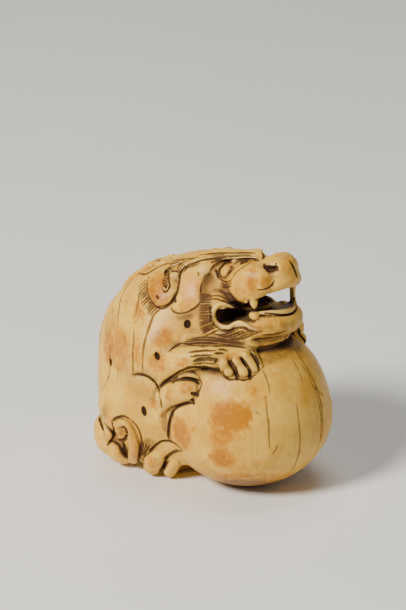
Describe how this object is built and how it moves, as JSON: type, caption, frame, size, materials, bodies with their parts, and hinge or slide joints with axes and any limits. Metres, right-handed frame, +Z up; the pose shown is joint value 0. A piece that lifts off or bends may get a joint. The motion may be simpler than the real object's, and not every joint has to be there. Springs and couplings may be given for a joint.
{
  "type": "netsuke",
  "caption": "Ivory netsuke carved as a crouching guardian lion (shishi) that hugs a large ball; a toggle carving that stands on its underside",
  "frame": {"origin": "middle of the bounding box in plan, on the plane the carving stands on", "axes": "+X the way the lion faces, +Y the lion's left, +Z up"},
  "size_m": [0.0394, 0.0272, 0.0398],
  "materials": {
    "ivory": "aged ivory, hand-polished to a satin gloss, with brown stain in the carved lines and orange-tan wear stains"
  },
  "bodies": {
    "root": {"shishi_with_ball": "ivory"}
  },
  "joints": []
}
